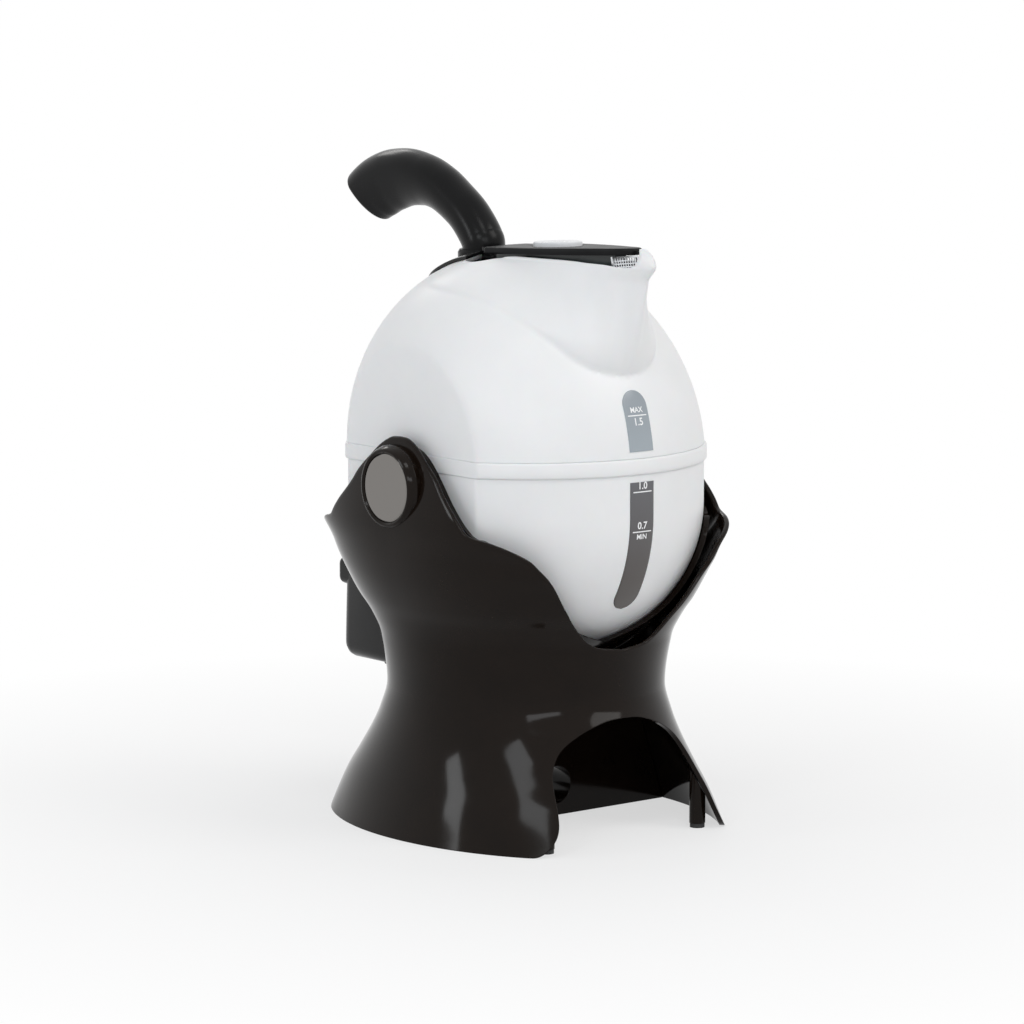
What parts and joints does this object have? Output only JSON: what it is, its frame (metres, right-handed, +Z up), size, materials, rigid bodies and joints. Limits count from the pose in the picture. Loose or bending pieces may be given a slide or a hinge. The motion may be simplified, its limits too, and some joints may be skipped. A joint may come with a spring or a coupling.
{
  "type": "tilt-to-pour electric kettle",
  "caption": "Egg-shaped electric kettle held in a cup that tips forward inside an hour-glass stand, with a swan-neck handle and a flip lid.",
  "frame": {"origin": "on the floor under the kettle's upright axis, on the underside of the stand's cross web", "axes": "+Z up, -Y towards the spout, X along the tilt axis; the part is the same on both sides of the YZ plane"},
  "size_m": [0.1598, 0.2155, 0.2976],
  "materials": {
    "gloss_black": "deep gloss moulded black with a polished skin",
    "satin_black": "semi-gloss black moulding",
    "matte_black": "fine matt black moulding",
    "rubber": "matt soft rubber",
    "acetal": "natural white engineering plastic",
    "bright_cap": "mirror-bright plated disc",
    "steel": "brushed stainless steel",
    "filter_metal": "bright stainless strip",
    "amber": "clear amber lens",
    "white_shell": "smooth white moulding with a soft gloss",
    "white_button": "satin white moulding",
    "window_light": "smoked translucent strip, grey-blue",
    "window_dark": "smoked translucent strip, dark grey"
  },
  "bodies": {
    "stand": {"stand_shell": "gloss_black", "cross_web": "gloss_black", "foot_posts": "gloss_black", "rubber_feet": "rubber", "pivot_bezels": "gloss_black", "pivot_bushes": "acetal", "boss_caps": "bright_cap"},
    "cradle": {"cradle_cup": "gloss_black", "pivot_pins": "steel", "pin_washers": "steel", "pin_screws": "steel", "power_connector": "matte_black", "switch_housing": "satin_black", "cord_gland": "rubber", "indicator_lens": "amber"},
    "rocker": {"rocker_switch": "matte_black"},
    "kettle": {"upper_shell": "white_shell", "belt_ring": "white_shell", "lower_shell": "white_shell", "upper_window": "window_light", "lower_window": "window_dark", "rear_cover": "satin_black", "handle": "gloss_black", "handle_collar": "gloss_black", "spout_filter": "filter_metal", "element_plate": "steel", "control_unit": "acetal", "base_cover": "matte_black", "base_socket": "matte_black", "lid_pin": "satin_black", "hinge_lugs": "satin_black"},
    "lid": {"lid": "satin_black", "lid_skirt": "matte_black", "button_spring": "steel"},
    "button": {"lid_button": "white_button"}
  },
  "joints": [
    {"name": "cradle_tilt", "type": "hinge", "parent": "stand", "child": "cradle", "pos_m": [0, 0, 0.156], "axis": [1, 0, 0], "range_deg": [0, 72]},
    {"name": "kettle_lift", "type": "slide", "parent": "cradle", "child": "kettle", "axis": [0, 0, 1], "range_m": [0, 0.12]},
    {"name": "lid_hinge", "type": "hinge", "parent": "kettle", "child": "lid", "pos_m": [0, 0.00855, 0.2547], "axis": [-1, 0, 0], "range_deg": [0, 70]},
    {"name": "lid_button_press", "type": "slide", "parent": "lid", "child": "button", "axis": [0, -0.0279, -0.9996], "range_m": [0, 0.0022], "stiffness_N_per_m": 300, "springref_m": -0.002, "deforming": ["button_spring"]},
    {"name": "power_switch", "type": "hinge", "parent": "cradle", "child": "rocker", "pos_m": [0, 0.1055, 0.098], "axis": [1, 0, 0], "range_deg": [0, 14]}
  ]
}
